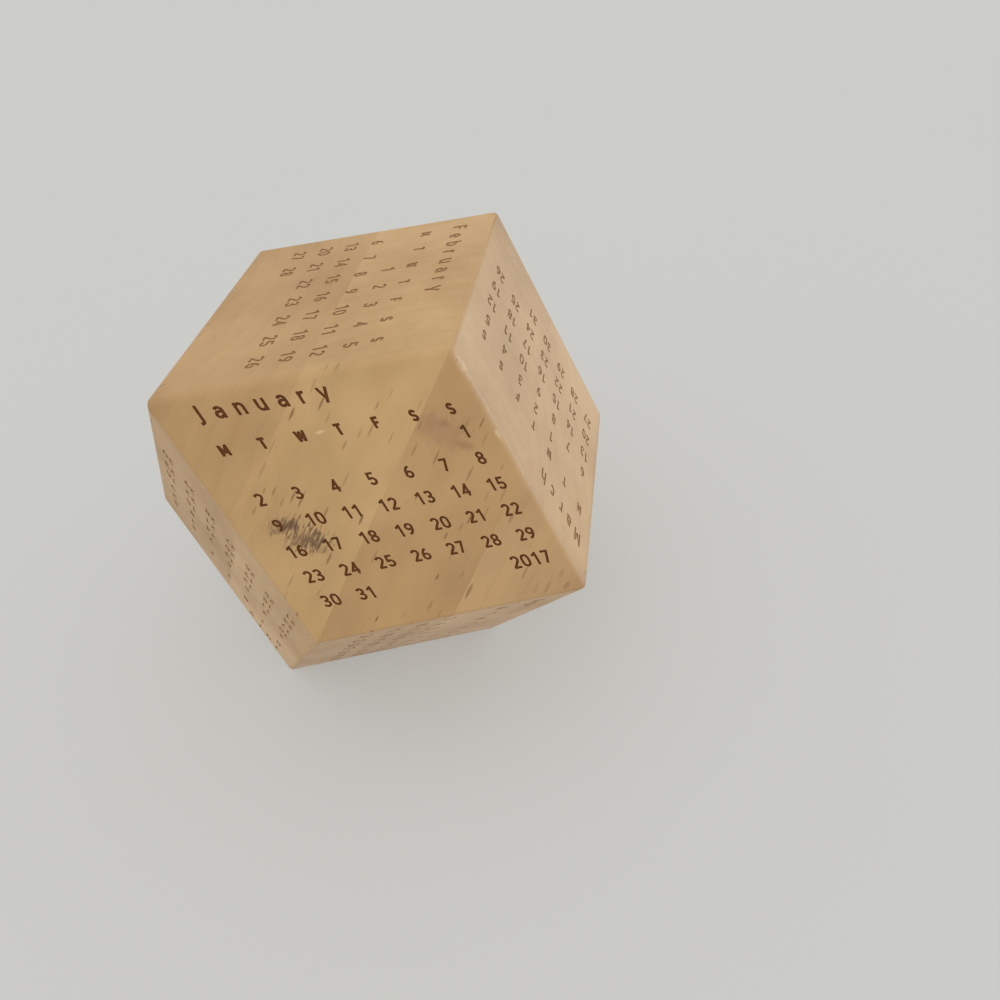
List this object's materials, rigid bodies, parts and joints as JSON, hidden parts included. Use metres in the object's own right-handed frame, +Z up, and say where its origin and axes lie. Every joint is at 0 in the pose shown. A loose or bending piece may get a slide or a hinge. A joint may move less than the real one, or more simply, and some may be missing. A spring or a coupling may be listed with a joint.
{
  "type": "desk calendar block",
  "caption": "Solid laminated beech desk calendar in the form of a rhombic dodecahedron, turned so that the current month's face is up.",
  "frame": {"origin": "centre of the face that the block stands on", "axes": "+Z up; Y along the line between the two sharp corners that are furthest apart; X along the long diagonal of the top and bottom faces"},
  "size_m": [0.08, 0.1124, 0.08],
  "materials": {
    "upper_outer_board": "planed and sanded beech, tan, oiled satin",
    "upper_inner_board": "planed and sanded beech, pale with dark ray flecks, oiled satin",
    "lower_inner_board": "planed and sanded beech, reddish with ray flecks, oiled satin",
    "lower_outer_board": "planed and sanded beech, pale tan, oiled satin",
    "glue": "dried wood glue, a hairline close to the wood in colour"
  },
  "bodies": {
    "root": {"upper_outer_board": "upper_outer_board", "upper_inner_board": "upper_inner_board", "lower_inner_board": "lower_inner_board", "lower_outer_board": "lower_outer_board", "upper_glue_line": "glue", "middle_glue_line": "glue", "lower_glue_line": "glue"}
  },
  "joints": []
}
